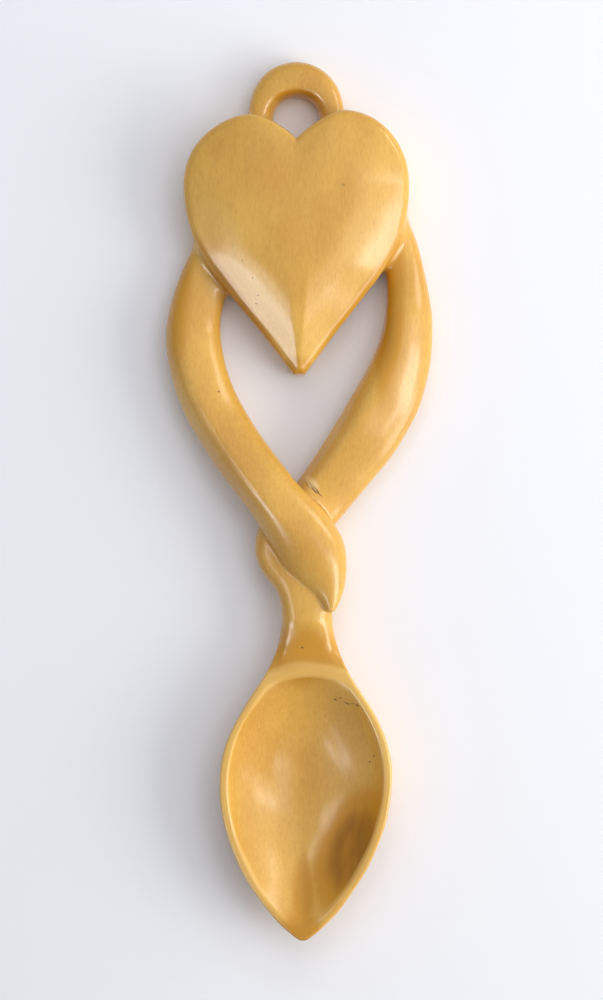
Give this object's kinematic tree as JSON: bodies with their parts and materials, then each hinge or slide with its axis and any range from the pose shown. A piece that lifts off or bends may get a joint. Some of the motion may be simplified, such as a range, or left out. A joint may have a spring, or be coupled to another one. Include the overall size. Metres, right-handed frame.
{
  "type": "welsh love spoon",
  "caption": "Carved wooden love spoon: hanging loop, domed heart, two crossed stems and a leaf-shaped bowl.",
  "frame": {"origin": "middle of the spoon's outline, on the plane of its back, on which it lies", "axes": "+Y from the bowl's tip to the hanging loop, +Z from the flat back to the carved front, +X to the right seen from the front"},
  "size_m": [0.0607, 0.1998, 0.0149],
  "materials": {
    "limewood": "pale close-grained wood under a thin golden varnish"
  },
  "bodies": {
    "root": {"hanging_loop": "limewood", "heart": "limewood", "left_stem": "limewood", "right_stem": "limewood", "neck": "limewood", "bowl": "limewood"}
  },
  "joints": []
}
